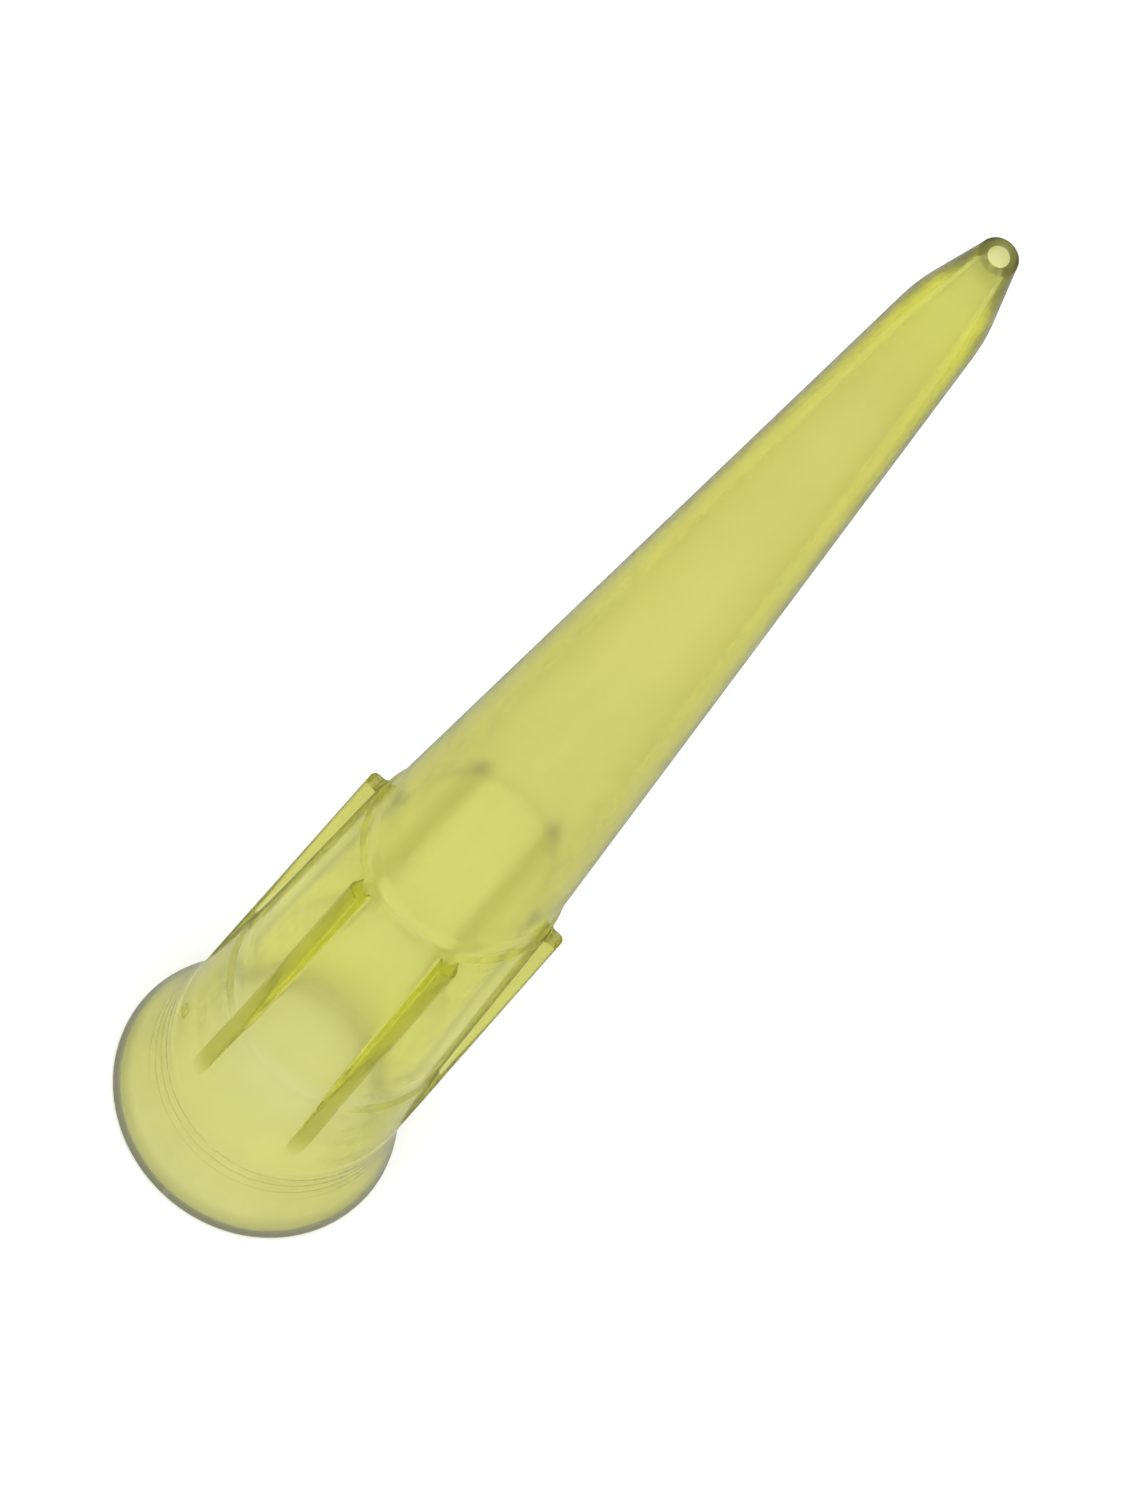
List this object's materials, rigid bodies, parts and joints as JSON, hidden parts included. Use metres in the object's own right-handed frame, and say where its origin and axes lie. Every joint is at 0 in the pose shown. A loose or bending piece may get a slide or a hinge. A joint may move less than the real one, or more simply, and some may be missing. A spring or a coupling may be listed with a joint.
{
  "type": "pipette tip",
  "caption": "Slim tapered pipette tip: a thin translucent yellow shell, flared open mouth, ribbed collar and a long cone to a fine point, standing on its mouth.",
  "frame": {"origin": "centre of the flat mouth rim, on the tip's axis", "axes": "+Z along the axis from the open mouth to the fine point; +X runs through one of the fins"},
  "size_m": [0.007, 0.007, 0.0505],
  "materials": {
    "tip_plastic": "translucent yellow polypropylene, smooth moulded, slightly hazy"
  },
  "bodies": {
    "root": {"pipette_tip": "tip_plastic"}
  },
  "joints": []
}
